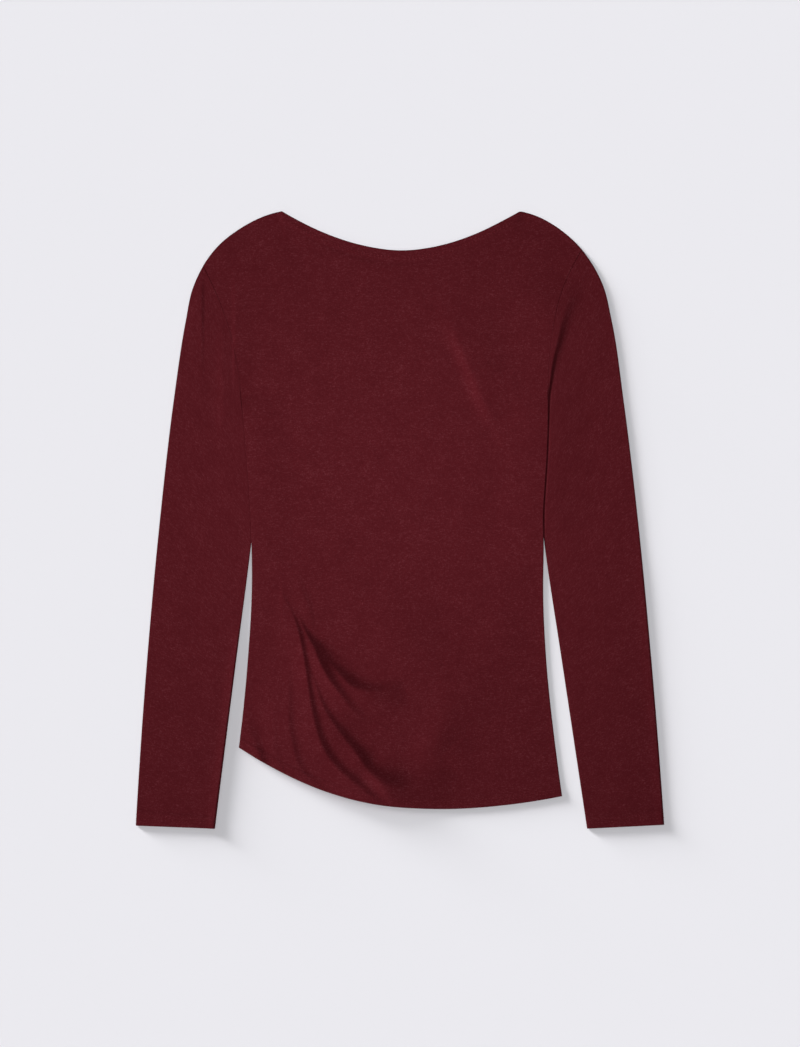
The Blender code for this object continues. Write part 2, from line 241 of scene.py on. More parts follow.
# Creases, pressed soft, in millimetres: (name, path, height at even steps along it, half width
# on its left and on its right). The path runs where the left side is steepest.
HIP_FOLDS = (
    ("edge_fold", ((-156, -195), (-152.5, -218), (-146.2, -238), (-140, -255.8)),
     (0, 1.4, 2.6, 3.2), (10, 7, 4.5), 12),
    ("side_fold", ((-128.5, -178), (-129.6, -212.9), (-128.5, -236.9), (-124, -253)),
     (0, 0.4, 0.7, 0.6), 4.5, 11),
    ("first_fold",
     ((-112.9, -141.8), (-113.9, -168), (-113.5, -189.9), (-113.1, -213.9), (-110, -230.7),
      (-106.2, -246.3), (-100, -260), (-83.6, -276), (-72.1, -287)),
     (0, 0.7, 1.4, 2.1, 2.4, 2.3, 1.8, 1.4, 1), (4.5, 5.2, 5.5, 5.8), 26),
    ("second_fold",
     ((-115, -90), (-105.5, -112.6), (-100.8, -131.4), (-96.6, -154.4), (-93, -177.4),
      (-87.2, -206.6), (-81, -227.5), (-73.2, -243.2), (-61.7, -256.8), (-47, -269.3), (-30, -283),
      (-8, -303)),
     (0, 2.8, 4.4, 4.2, 4.2, 4.6, 5.3, 5.8, 5.8, 4.4, 0), (2, 3.1, 4.4, 6, 7, 6.6),
     (13, 28, 40, 30)),
    ("third_fold",
     ((-96, -140), (-92, -159.6), (-86.7, -171.1), (-82.6, -183.7), (-73, -202.5), (-57.3, -223.4),
      (-41.8, -242.2), (-27.5, -260), (-10.5, -269), (5, -270), (25, -262), (44, -248)),
     (0, 1, 1.7, 2.2, 3.1, 4.9, 6.6, 7.8, 7.6, 6.4, 4.4, 0),
     (2, 2.6, 3.2, 4.3, 5.6, 6.8, 9.2, 13.8, 18, 19), (12, 26, 32, 18)),
    ("third_end", ((-28, -246), (-14, -257), (-2.5, -270), (6, -285), (11, -300)),
     (0, 3.4, 6, 5, 2, 0), 21, 10),
    ("third_slope", ((-85, -170), (-78.4, -187.8), (-66.9, -208.7), (-50, -231)),
     (0, 2, 3, 2.4, 0), 20, 26),
    ("fourth_fold",
     ((-106, -98), (-98.5, -113.6), (-92.5, -124.1), (-87.5, -131.4), (-82.5, -142.9),
      (-76.8, -154.4), (-69.5, -166.9), (-60.5, -178.5), (-48, -194.1), (-28.2, -208.7)),
     (0, 1.6, 4.6, 8, 8.8, 8, 6.4, 4.8, 2.4, 0), (1.6, 2.6, 5.4, 6, 7, 9), (10, 23, 30)),
    ("fifth_fold",
     ((-85, -134), (-73.2, -146), (-59.6, -159.5), (-46, -170.5), (-33, -173.8), (-18, -173.5),
      (3, -169)),
     (0, 2.8, 5.4, 7.8, 8.6, 7.2, 3.6, 0), (3, 4.8, 7.4, 8.4, 7.6), (8, 18, 24)),
    ("hip_rise", ((-104.5, -46.8), (-100.3, -72.9), (-94.1, -89.6), (-89.9, -121)),
     (0, 0.5, 0.9, 0.6, 0), 4, 10),
)
FRONT_CREASES = (
    ("chest_crease", ((95, 98.5), (86, 116), (78.2, 132.9), (67.4, 160), (60, 177), (44, 215)),
     (0, 3.6, 4.6, 4.3, 3.6, 2.2, 0), (8, 7.6, 6.6, 6.6, 8), 43),
    ("hip_pleat", ((-124.3, -111), (-124.3, -85), (-124.3, -56)),
     (0, 0.6, 0), 2.2, 10),
)
# Creases that cross the armholes, shared by the front and the sleeves
ARMHOLE_CREASES = (
    ("underarm_fold",
     ((190, 248), (181.8, 230.2), (173, 209.3), (167.2, 188.4), (161.4, 167.5), (157.8, 146.6),
      (156, 134), (155.2, 115)),
     (0, 1.8, 4.5, 4.7, 4.4, 4.1, 3.4, 0.6), (10, 8.4, 5.6, 3.4, 2, 1.4), 38),
    ("cap_line", ((-205.9, 262), (-205.9, 230), (-205.9, 195), (-205.9, 145)),
     (0, 1.1, 1.1, 0.7, 0.4, 0), 1.8, 14),
    ("cap_ridge", ((-188.5, 85), (-188, 125), (-188, 165), (-188, 205)),
     (0, 1.1, 1.3, 1, 0), 6, 22),
    ("underarm_line", ((-173.8, 128), (-173.8, 170), (-173.8, 210), (-173.8, 260)),
     (0, 0.5, 0.9, 0.9, 0.7, 0), 1.5, 18),
)
# The right sleeve stands up against the edge of the body
SLEEVE_CREASES = (
    ("sleeve_puff",
     ((151.2, -33), (151.2, -15.5), (151.5, 10.7), (153.4, 42), (155.3, 73.4), (156.4, 115),
      (157.9, 134), (159.9, 146.6), (163.4, 164), (167.6, 180)),
     (0, 1.8, 2.9, 3, 3, 3, 2.8, 2, 0.9, 0), 0.7, 30),
)
# Shallow troughs in the undersides, which are flat where they rest
BACK_CREASES = (
    ("hip_fold", ((-123, -70), (-102, -125), (-64, -190), (-12, -238)),
     (0, 0.3, 0.4, 0.3, 0), 4, 11),
    ("hip_side", ((-133, -115), (-129, -170), (-118, -225)),
     (0, 0.3, 0.2, 0), 3.5, 8),
    ("waist", ((125, -45), (80, -62), (25, -56)),
     (0, 0.3, 0.2, 0), 5, 12),
    ("shoulder", ((118, 108), (86, 162), (52, 220)),
     (0, 0.4, 0.3, 0), 5, 14),
    ("middle", ((-45, 90), (-30, 30), (-38, -25)),
     (0, 0.2, 0.3, 0), 6, 11),
)
SLEEVE_UNDERSIDE_CREASES = (
    ("left_elbow", ((-235, 25), (-215, 2), (-190, -12)),
     (0, 0.3, 0.4, 0), 4.5, 10),
    ("left_forearm", ((-232, -70), (-225, -130), (-230, -195)),
     (0, 0.3, 0.2, 0), 4, 9),
    ("right_elbow", ((230, 40), (208, 15), (185, 5)),
     (0, 0.4, 0.3, 0), 4.5, 11),
    ("right_forearm", ((215, -100), (222, -160), (220, -230)),
     (0, 0.2, 0.3, 0), 4.5, 9),
)
# Gentle unevenness all over. Its waves run down rather than across, as the body hangs from
# the shoulders, and they are lower on the sleeves.
WAVE_COUNT, WAVE_LENGTHS, WAVE_SLOPE = 40, (0.022, 0.11), 0.011
WAVE_STRETCH, SLEEVE_WAVES = 0.55, 0.5
SLEEVES = (
    ("sleeve_left", (LEFT_OUTER, LEFT_INNER, LEFT_SIDE, LEFT_ARMHOLE), -1),
    ("sleeve_right", (RIGHT_OUTER, RIGHT_INNER, RIGHT_SIDE, RIGHT_ARMHOLE), 1),
)


def ease(value, start, end):
    """A smooth step from 0 at start to 1 at end, which may be the smaller of the two."""
    share = np.clip((value - start) / (end - start), 0, 1)
    return share * share * (3 - 2 * share)


def steps(line):
    """The lengths of the steps between a line's points."""
    return np.linalg.norm(np.diff(line, axis=0), axis=1)


def run_along(line):
    """How far along a line each of its points lies."""
    return np.concatenate(([0.0], np.cumsum(steps(line))))


def unit(vectors):
    """The same directions with a length of 1."""
    return vectors / np.linalg.norm(vectors, axis=1)[:, None]


def smooth(points):
    """Points close together on the smooth curve through the given ones."""
    points = np.array(points, float)
    slopes = np.gradient(points, run_along(points), axis=0, edge_order=min(2, len(points) - 1))
    t = np.linspace(0, 1, CURVE_STEPS + 1)[1:, None]
    curve = [points[:1]]
    for i, length in enumerate(steps(points)):
        curve.append(
            (2 * t**3 - 3 * t**2 + 1) * points[i]
            + (t**3 - 2 * t**2 + t) * length * slopes[i]
            + (3 * t**2 - 2 * t**3) * points[i + 1]
            + (t**3 - t**2) * length * slopes[i + 1]
        )
    return np.concatenate(curve)


def shifted(line, distance):
    """The line moved sideways, to its left where distance is positive."""
    ways = unit(np.gradient(line, axis=0))
    return line + distance * np.stack((-ways[:, 1], ways[:, 0]), axis=1)


def edge(lines, breaks=()):
    """A function from shares of an edge to its plan points; its lines meet at the breaks."""
    stops = (0.0, *breaks, 1.0)
    shares = []
    for line, start, end in zip(lines, stops, stops[1:]):
        run = run_along(line)
        shares.append(start + (end - start) * run / run[-1])
    shares, points = np.concatenate(shares), np.concatenate(lines)
    return lambda at: np.stack([np.interp(at, shares, points[:, k]) for k in (0, 1)], axis=-1)


def patch(edges, u, v):
    """Plan points between bottom, top, left and right edges, at shares across and along."""
    bottom, top, left, right = edges
    across, along = u[..., None], v[..., None]
    low, high = (each(u) - (1 - across) * each(0) - across * each(1) for each in (bottom, top))
    sides = (1 - across) * left(v) + across * right(v)
    return sides + (1 - along) * low + along * high


def span(grid, axis):
    """The length of each line of a grid of plan points along one axis."""
    return np.linalg.norm(np.diff(grid, axis=axis), axis=-1).sum(axis=axis)


def along_path(values, share):
    """A number, or even steps of a rounded profile, at shares of a path's length."""
    if np.isscalar(values):
        return np.full(share.shape, values)
    fine = np.linspace(0, 1, 201)
    profile = np.interp(fine, np.linspace(0, 1, len(values)), values)
    # A running mean over an eighth of the path rounds the steps
    profile = np.convolve(np.pad(profile, 12, mode="edge"), np.ones(25) / 25, mode="valid")
    return np.interp(share, fine, profile)


def crease_height(plan, path, heights, left, right):
    """The height field of one crease, a ridge steepest on its left, where the path runs."""
    line = smooth(path)
    # Further off than this, the bell curve has come down to nothing
    reach = 3 * max(np.max(left), np.max(right))
    near = np.all((plan > line.min(0) - reach) & (plan < line.max(0) + reach), axis=-1)
    field = np.zeros(plan.shape[:-1])
    points = plan[near]
    if len(points) == 0:
        return field
    run, half_step = run_along(line), 0.6 * steps(line).max()
    nearest = np.linalg.norm(points[:, None] - line, axis=-1).argmin(axis=1)
    aside, way = points - line[nearest], unit(np.gradient(line, axis=0))[nearest]
    forward = np.clip((aside * way).sum(axis=1), -half_step, half_step)
    apart = np.sqrt(np.maximum((aside**2).sum(axis=1) - forward**2, 0))
    share = np.clip((run[nearest] + forward) / run[-1], 0, 1)
    left = along_path(left, share)
    from_crest = apart * np.sign(way[:, 0] * aside[:, 1] - way[:, 1] * aside[:, 0])
    # A bell curve is steepest at this share of its half width from the crest
    from_crest += left / np.sqrt(2)
    width = np.where(from_crest > 0, left, along_path(right, share))
    field[near] = along_path(heights, share) * np.exp(-((from_crest / width) ** 2))
    return field


def creases(plan, table):
    """The sum of a table's creases, which are in millimetres."""
    return sum(crease_height(MILLIMETRES * plan, *row[1:]) for row in table) / MILLIMETRES


def troughs(plan, table):
    """Creases into a flat underside, which stay shallow where they cross."""
    return np.minimum(creases(plan, table), UNDERSIDE_DEPTH)


def mounds(plan, table):
    """The sum of a table's mounds, which are in millimetres."""
    field = np.zeros(plan.shape[:-1])
    for _, centre, halves, turn, height in table:
        cos, sin = np.cos(np.radians(turn)), np.sin(np.radians(turn))
        across = (MILLIMETRES * plan - centre) @ np.array(((cos, -sin), (sin, cos))) / halves
        field += height * np.exp(-(across**2).sum(axis=-1))
    return field / MILLIMETRES


def waves(plan):
    """A gentle unevenness, the same each time: slanting waves of many lengths."""
    draw = np.random.default_rng(7)
    field = np.zeros(plan.shape[:-1])
    for _ in range(WAVE_COUNT):
        length = np.exp(draw.uniform(*np.log(WAVE_LENGTHS)))
        turn, start = draw.uniform(0, 2 * np.pi, 2)
        way = np.array((np.cos(turn), WAVE_STRETCH * np.sin(turn)))
        size = WAVE_SLOPE * length / (2 * np.pi) * np.sqrt(2 / WAVE_COUNT)
        field += size * np.sin(2 * np.pi * (plan @ way) / length + start)
    return field


def rounded(height, join, from_edge):
    """Heights that curve down to the join at the outermost line."""
    inside = np.clip(from_edge / EDGE_ROUND, 0, 1)
    return join + (height - join) * np.sqrt(1 - (1 - inside) ** 2)


# Meshes


def border(rows, columns):
    """The vertex numbers round a grid, anticlockwise from its first corner."""
    index = np.arange(rows * columns).reshape(rows, columns)
    return np.concatenate((index[0], index[1:, -1], index[-1, -2::-1], index[-2:0:-1, 0]))


def turned_over(faces):
    """The same faces, seen from their other side."""
    return [face[::-1] for face in faces]


def grid_faces(rows, columns, start=0, around=False):
    """Four-sided faces over a grid, closed round its columns if asked."""
    index = start + np.arange(rows * columns).reshape(rows, columns)
    after = np.roll(index, -1, axis=1) if around else index[:, 1:]
    index = index if around else index[:, :-1]
    faces = np.stack((index[:-1], after[:-1], after[1:], index[1:]), axis=-1)
    return faces.reshape(-1, 4).tolist()


def joining_faces(fine, coarse):
    """Faces between a closed loop of many vertices and one with a quarter as many."""
    starts, outer = THIN_OUT * np.arange(len(coarse)), np.arange(THIN_OUT + 1)
    outer = fine[(starts[:, None] + outer) % len(fine)]
    return np.column_stack((outer, np.roll(coarse, -1), coarse)).tolist()


def new_piece(name, points, faces, woven, material):
    """A smooth-shaded object with each vertex's place in the cloth, in metres."""
    mesh = bpy.data.meshes.new(name)
    mesh.from_pydata(points.tolist(), [], faces)
    mesh.update()
    place = mesh.attributes.new("cloth", "FLOAT_VECTOR", "POINT")
    place.data.foreach_set("vector", woven.astype(np.float32).ravel())
    mesh.materials.append(material)
    mesh.shade_smooth()
    piece = bpy.data.objects.new(name, mesh)
    bpy.context.scene.collection.objects.link(piece)
    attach(piece, "root")
    return piece


def stitches(name, rows, outwards, material):
    """Small stitches along lines of points: closed, tapered and arched out of the cloth."""
    rings, sides = len(STITCH_PROFILE), 6
    share = np.linspace(0, 1, rings)
    turn = np.linspace(0, 2 * np.pi, sides, endpoint=False)
    profile = STITCH_RADIUS * np.array(STITCH_PROFILE)
    arch = STITCH_RADIUS * np.array(STITCH_ARCH)
    points = []
    for line in rows:
        run = run_along(line)
        count = int(run[-1] / STITCH_PITCH)
        at = (np.arange(count)[:, None] + STITCH_SHARE * share) * STITCH_PITCH
        centre = np.stack([np.interp(at, run, line[:, k]) for k in range(3)], axis=-1)
        way = unit(centre[:, -1] - centre[:, 0])
        up = outwards * unit(np.cross(way, (0.0, 1.0, 0.0)))
        up = np.where(np.abs(way[:, 1:2]) > 0.9, (0.0, 0.0, 1.0), up)
        beside = np.cross(up, way)
        centre = centre + up[:, None] * arch[:, None]
        ring = np.cos(turn)[:, None] * beside[:, None] + np.sin(turn)[:, None] * up[:, None]
        points.append((centre[:, :, None] + profile[:, None, None] * ring[:, None]).reshape(-1, 3))
    points = np.concatenate(points)
    points[:, 2] = np.maximum(points[:, 2], BOX_LOW.z)
    each = np.array(grid_faces(rings, sides, around=True))
    starts = np.arange(0, len(points), rings * sides)[:, None]
    faces = (starts[..., None] + each[:, ::-1]).reshape(-1, 4).tolist()
    first = np.arange(sides)
    faces += (starts + first).tolist()
    faces += (starts + (rings - 1) * sides + first[::-1]).tolist()
    return new_piece(name, points, faces, points, material)


# Body panels


def seam_join(plan):
    """How far up the outermost line of the nearer armhole seam lies, and 0 below the seam."""
    along = plan[..., 1]
    left, right = (
        np.interp(along, *seam) * ease(along, *start)
        for seam, start in zip((LEFT_SEAM, RIGHT_SEAM), SEAM_MEETS_SIDE)
    )
    return np.where(plan[..., 0] < 0, left, right)


def body_edges():
    """The hem, the top edge and the two side edges, each with its armhole."""
    borders = (
        ((HEM,), ()),
        ((LEFT_SHOULDER, NECKLINE, RIGHT_SHOULDER), (NECK_FROM, NECK_TO)),
        ((LEFT_SIDE, LEFT_ARMHOLE), (UNDERARM,)),
        ((RIGHT_SIDE, RIGHT_ARMHOLE), (UNDERARM,)),
    )
    return [edge([smooth(line) for line in lines], breaks) for lines, breaks in borders]


class Panel:
    """A grid over the body's outline, with what its heights depend on."""

    def __init__(self, columns, rows, cloth):
        self.u, self.v = np.meshgrid(columns, rows)
        self.plan = patch(body_edges(), self.u, self.v)
        width, length = span(self.plan, 1)[:, None], span(self.plan, 0)[None]
        self.from_side = np.minimum(self.u, 1 - self.u) * width
        self.from_hem, self.from_top = self.v * length, (1 - self.v) * length
        self.from_end = np.minimum(self.from_hem, self.from_top)
        self.from_edge = np.minimum(self.from_side, self.from_end)
        # The shoulders are plain seams, so only the neck is turned under
        self.neck = ease(self.u, NECK_FROM - NECK_START, NECK_FROM)
        self.neck *= ease(self.u, NECK_TO + NECK_START, NECK_TO)
        self.cloth = cloth

    def turned(self, reach):
        """1 at the turned hem and neck, and 0 beyond this reach past the turning."""
        hem = ease(self.from_hem, HEM_DEPTH + reach, HEM_DEPTH)
        top = ease(self.from_top, NECK_DEPTH + reach, NECK_DEPTH) * self.neck
        return np.maximum(hem, top)

    def ride(self, level, down):
        """How far the panel is held up where its edge lies on a sleeve."""
        along = self.plan[..., 1]
        on_sleeve = ease(along, *CLIMB) * ease(along, *reversed(DESCENT))
        lift = 2 * self.cloth.layer + TUBE_GAP + LAYER_GAP
        return lift * on_sleeve * ease(self.from_side, down, level)

    def wall(self):
        """The thickness of the cloth, which is more where it is turned under."""
        return self.cloth.layer + self.cloth.turning * self.turned(STEP)

    def join(self, below, above):
        """The heights of the panel's outermost line, between the panel's two sides."""
        at_hem, at_top = (ease(depth, END_REACH, 0) for depth in (self.from_hem, self.from_top))
        plain = below + TURNED_JOIN * np.maximum(at_hem, at_top * self.neck) * self.wall()
        share = seam_join(self.plan)
        seam = above - (1 - share) * self.wall()
        at_side = ease(self.from_side, *SEAM_REACH)
        return plain + (seam - plain) * ease(share, 0.0, SEAM_FULL) * at_side


def panel_piece(name, grid, fine, coarse, upwards, material):
    """A closed shell whose fine side faces up or down."""
    # The hidden side's outer lines stand in from the edge, past its rounding
    picks = [[2, *range(THIN_OUT, n - THIN_OUT, THIN_OUT), n - 3] for n in fine.shape]
    thin = np.dstack((grid.plan, coarse))[np.ix_(*picks)]
    points = np.concatenate((np.dstack((grid.plan, fine)).reshape(-1, 3), thin.reshape(-1, 3)))
    faces = grid_faces(*fine.shape)
    faces += turned_over(grid_faces(*thin.shape[:2], start=fine.size))
    loops = border(*fine.shape), fine.size + border(*thin.shape[:2])
    faces += turned_over(joining_faces(*loops))
    if not upwards:
        faces = turned_over(faces)
    depth = np.full(len(points), CLOTH_FACES[upwards])
    woven = np.stack((points[:, 0], points[:, 1], depth), axis=1)
    return new_piece(name, points, faces, woven, material)


def on_grid(values, grid, u, v):
    """Values of a grid at shares across and along it."""
    columns, rows = grid.u[0], grid.v[:, 0]
    across = np.interp(u, columns, np.arange(len(columns)))
    along = np.interp(v, rows, np.arange(len(rows)))
    i = np.minimum(along.astype(int), len(rows) - 2)
    j = np.minimum(across.astype(int), len(columns) - 2)
    s, t = (along - i)[:, None], (across - j)[:, None]
    low = values[i, j] * (1 - t) + values[i, j + 1] * t
    return low * (1 - s) + (values[i + 1, j] * (1 - t) + values[i + 1, j + 1] * t) * s


def panel_stitches(name, grid, heights, upwards, material):
    """Two rows of stitches along the turned hem and the turned neck."""
    surface = np.dstack((grid.plan, heights))
    length = grid.from_hem[-1]
    rows = []
    for depths, ends, top in ((HEM_ROWS, HEM_SEWN, False), (NECK_ROWS, NECK_SEWN, True)):
        u = np.linspace(*ends, ROW_POINTS)
        for depth in depths:
            v = depth / np.interp(u, grid.u[0], length)
            rows.append(on_grid(surface, grid, u, 1 - v if top else v))
    return stitches(name, rows, 1 if upwards else -1, material)


def front_heights(grid):
    """The underside and the top of the front, without its rounded edges, and its folds."""
    cloth = grid.cloth
    middle = ease(grid.from_end, 0, FRONT_LOFT_REACH[1])
    middle *= ease(grid.from_side, 0, FRONT_LOFT_REACH[0])
    underside = cloth.layer + LAYER_GAP + grid.ride(*FRONT_RIDE) + FRONT_LOFT * middle
    underside += cloth.turning * grid.turned(CLEARANCE_REACH)
    folds = mounds(grid.plan, HIP_MOUNDS)
    folds += creases(grid.plan, HIP_FOLDS + FRONT_CREASES + ARMHOLE_CREASES)
    folds += waves(grid.plan) * middle
    past_neck = ease(grid.from_top, *NECK_UP) * ease(grid.from_top, *NECK_DOWN)
    past_neck *= ease(grid.u, NECK_FROM, NECK_FROM + NECK_FADE)
    past_neck *= ease(grid.u, NECK_TO, NECK_TO - NECK_FADE)
    folds += NECK_RISE * past_neck
    folds = np.maximum(folds * cloth.crease_depth, 0)
    return underside, underside + grid.wall() + folds, folds


def build_front(cloth, material, thread):
    """The front and its stitches. Its hidden side follows the lowest fold close by."""
    grid = Panel(FRONT_COLUMNS, FRONT_ROWS, cloth)
    underside, top, low = front_heights(grid)
    for axis in (0, 1):
        for _ in range(FOLLOW_LINES):
            low = np.minimum(low, np.minimum(np.roll(low, 1, axis), np.roll(low, -1, axis)))
    bottom = underside + FOLLOW_SHARE * low
    top = rounded(top, grid.join(bottom, top), grid.from_edge)
    sewn = panel_stitches("front_stitches", grid, top, True, thread)
    return panel_piece("front", grid, top, bottom, True, material), sewn


def build_back(cloth, material, thread):
    """The back and its stitches. Its fine side faces the floor."""
    grid = Panel(BACK_COLUMNS, BACK_ROWS, cloth)
    underside = grid.ride(*BACK_RIDE)
    top = underside + grid.wall()
    underside += troughs(grid.plan, BACK_CREASES) * ease(grid.from_edge, 0, TROUGH_REACH)
    bottom = -rounded(-underside, grid.join(-top, -underside), grid.from_edge)
    sewn = panel_stitches("back_stitches", grid, bottom, False, thread)
    return panel_piece("back", grid, bottom, top, False, material), sewn


# Sleeves


def sleeve_loop(width, thin, wall, radius):
    """Round a flattened tube from its inner fold, every thin-th line: (across, height)."""
    turn = np.linspace(-np.pi / 2, np.pi / 2, FOLD_STEPS // thin + 1)
    centre = radius + wall
    x, z = centre - radius * np.cos(turn), centre + radius * np.sin(turn)
    top, bottom = (
        centre + (width - 2 * centre) * lines[1:-1]
        for lines in (SLEEVE_TOP[::thin], SLEEVE_BOTTOM[::-thin])
    )
    x = np.concatenate((x, top, width - x[::-1], bottom))
    z = np.concatenate((z, z[-1] + 0 * top, z[::-1], z[0] + 0 * bottom))
    return np.stack((x, z), axis=1)


class Tube:
    """A sleeve's plan from the cuff to the armhole; side is -1 at the left, 1 at the right."""

    def __init__(self, outer, inner, body_side, armhole, side, cloth):
        seam = shifted(smooth(armhole), -side * SEAM_GAP)
        beside = shifted(smooth(body_side), -side * SEAM_GAP)
        beside = beside[beside[:, 1] > INNER_MEETS_BODY][:-1]
        outer = edge([smooth((*outer, tuple(seam[-1])))])
        inner = edge([smooth((*inner, *map(tuple, beside[::3]), tuple(seam[0])))])
        cuff = edge([np.array((inner(0.0), outer(0.0)))])
        self.edges = (cuff, edge([seam]), inner, outer)
        # Its widths, and its length down the middle, are those of a plain grid
        plan = patch(self.edges, *np.meshgrid(np.linspace(0, 1, 30), SLEEVE_ROWS))
        self.widths, self.length = span(plan, 1), span(plan, 0)[15]
        self.side, self.cloth = side, cloth
        self.half = cloth.layer + TUBE_GAP / 2

    def rings(self, thin, wall, radius):
        """Loops and plan points at every thin-th row, with their shares across and along."""
        rows, widths = SLEEVE_ROWS[::thin], self.widths[::thin]
        loops = np.stack([sleeve_loop(width, thin, wall, radius) for width in widths])
        v = np.repeat(rows[:, None], loops.shape[1], axis=1)
        u = loops[..., 0] / widths[:, None]
        return loops, u, v, patch(self.edges, u, v)

    def gape(self, u, v):
        """How far the open cuff stands up off its underside."""
        return CUFF_LOFT * ease(v * self.length, CUFF_LOFT_REACH, 0.0) * between_folds(u)

    def outside(self):
        """The outer surface and its place in the cloth."""
        cloth, length, half = self.cloth, self.length, self.half
        loops, u, v, plan = self.rings(1, 0.0, half)
        z = loops[..., 1].copy()
        from_fold = np.minimum(u, 1 - u) * self.widths[:, None]
        is_top = loops[..., 1] > half
        along = v * length
        # The underarm seam stiffens one fold, which stands up a little along the free part
        from_stiff = (u if self.side < 0 else 1 - u) * self.widths[:, None]
        stiff = STIFF_FOLD[self.side < 0] * np.exp(-((from_stiff / STIFF_REACH) ** 2))
        stiff = stiff * ease(from_stiff, *STIFF_START) * ease(length - along, *STIFF_FREE)
        loft = self.gape(u, v) + stiff
        if self.side < 0:
            # Near the underarm the fold is pressed up against the body's edge
            pressed = np.sqrt(np.clip(1 - (z / half - 1) ** 2, 0, 1))
            pressed = pressed * ease(loops[..., 0], *PRESSED_REACH)
            z += FOLD_LIFT * (2 * half - z) * pressed * ease(plan[..., 1], *SEAM_MEETS_SIDE[0])
        folds = creases(plan, ARMHOLE_CREASES) + SLEEVE_WAVES * waves(plan)
        folds = folds * ease(from_fold, *FOLD_FADE)
        folds = folds + creases(plan, SLEEVE_CREASES) * ease(from_fold, *PUFF_FADE)
        turning = cloth.turning * ease(along, CUFF_DEPTH + STEP, CUFF_DEPTH)
        rise = loft + turning * ease(from_fold, 0.0, TURNING_REACH)
        sunk = troughs(plan, SLEEVE_UNDERSIDE_CREASES) * between_folds(u)
        z = np.where(is_top, z + rise + folds * cloth.crease_depth, z + sunk)
        join = np.where(along > length / 2, seam_join(plan), TURNED_JOIN)
        middle = np.where(is_top, z - cloth.layer * (1 - join), cloth.layer * (1 - join))
        z = rounded(z, middle, np.minimum(along, length - along))
        woven = np.dstack((loops[..., 0], along, np.where(is_top, *reversed(CLOTH_FACES))))
        return np.dstack((plan, z)), woven

    def lining(self):
        """The inner surface of the cloth and its place in the cloth."""
        loops, u, v, plan = self.rings(THIN_OUT, self.cloth.layer, TUBE_GAP / 2)
        z = loops[..., 1]
        z = np.where(z > self.half, z + self.gape(u, v), z)
        return np.dstack((plan, z)), np.dstack((loops[..., 0], v * self.length, 0 * u))


def between_folds(u):
    """1 over the middle of a sleeve and 0 at its two folds."""
    return ease(u, *BETWEEN_FOLDS) * ease(1 - u, *BETWEEN_FOLDS)


def build_sleeve(name, lines, side, cloth, material, thread):
    """A flattened tube and the stitches round its cuff."""
    tube = Tube(*lines, side, cloth)
    surface, woven = tube.outside()
    rings = []
    for depth in CUFF_ROWS:
        row = np.interp(depth / tube.length, SLEEVE_ROWS, np.arange(len(SLEEVE_ROWS)))
        ring = surface[int(row)] * (1 - row % 1) + surface[int(row) + 1] * (row % 1)
        rings.append(np.concatenate((ring, ring[:1])))
    sewn = stitches(name + "_stitches", rings, side, thread)

    hidden, hidden_woven = tube.lining()
    index = np.arange(surface[..., 0].size).reshape(surface.shape[:2])
    inner = index.size + np.arange(hidden[..., 0].size).reshape(hidden.shape[:2])
    faces = grid_faces(*index.shape, around=True)
    faces += turned_over(grid_faces(*inner.shape, start=index.size, around=True))
    faces += turned_over(joining_faces(index[0], inner[0])) + joining_faces(index[-1], inner[-1])
    if side < 0:
        faces = turned_over(faces)
    points, woven = (
        np.concatenate((outside.reshape(-1, 3), inside.reshape(-1, 3)))
        for outside, inside in ((surface, hidden), (woven, hidden_woven))
    )
    return new_piece(name + "_tube", points, faces, woven, material), sewn


# Materials


def connect(tree, sockets, inputs):
    """Give sockets their values or links."""
    for name, value in inputs.items():
        if isinstance(value, bpy.types.NodeSocket):
            tree.links.new(value, sockets[name])
        else:
            sockets[name].default_value = value


def node(tree, kind, inputs=None, **settings):
    """A shader node with its settings and the values or links of its inputs."""
    made = tree.nodes.new(kind)
    for name, value in settings.items():
        setattr(made, name, value)
    connect(tree, made.inputs, inputs or {})
    return made


def maths(tree, operation, first, second=0.0):
    """The result of a sum on two values or links."""
    return node(tree, "ShaderNodeMath", {0: first, 1: second}, operation=operation).outputs[0]


def noise(tree, place, scale, detail, roughness):
    """Smooth noise about 0, with a scale along each axis of the cloth."""
    stretched = node(tree, "ShaderNodeMapping", {"Vector": place, "Scale": scale}).outputs[0]
    inputs = {"Vector": stretched, "Scale": 1.0, "Detail": detail, "Roughness": roughness}
    return maths(tree, "SUBTRACT", node(tree, "ShaderNodeTexNoise", inputs).outputs["Fac"], 0.5)


def mixed_color(tree, share, first, second):
    """A blend of two colors, held between them."""
    inputs = {"Factor": share, "A": first, "B": second}
    made = node(tree, "ShaderNodeMix", inputs, data_type="RGBA", clamp_factor=True)
    return made.outputs["Result"]


MELANGE_INPUTS = {
    "Cloth": "Vector", "Wale": "Float", "Yarn": "Color", "Dark Yarn": "Color", "Light Yarn": "Color"
}
MELANGE_OUTPUTS = {"Color": "Color", "Roughness": "Float", "Height": "Float"}


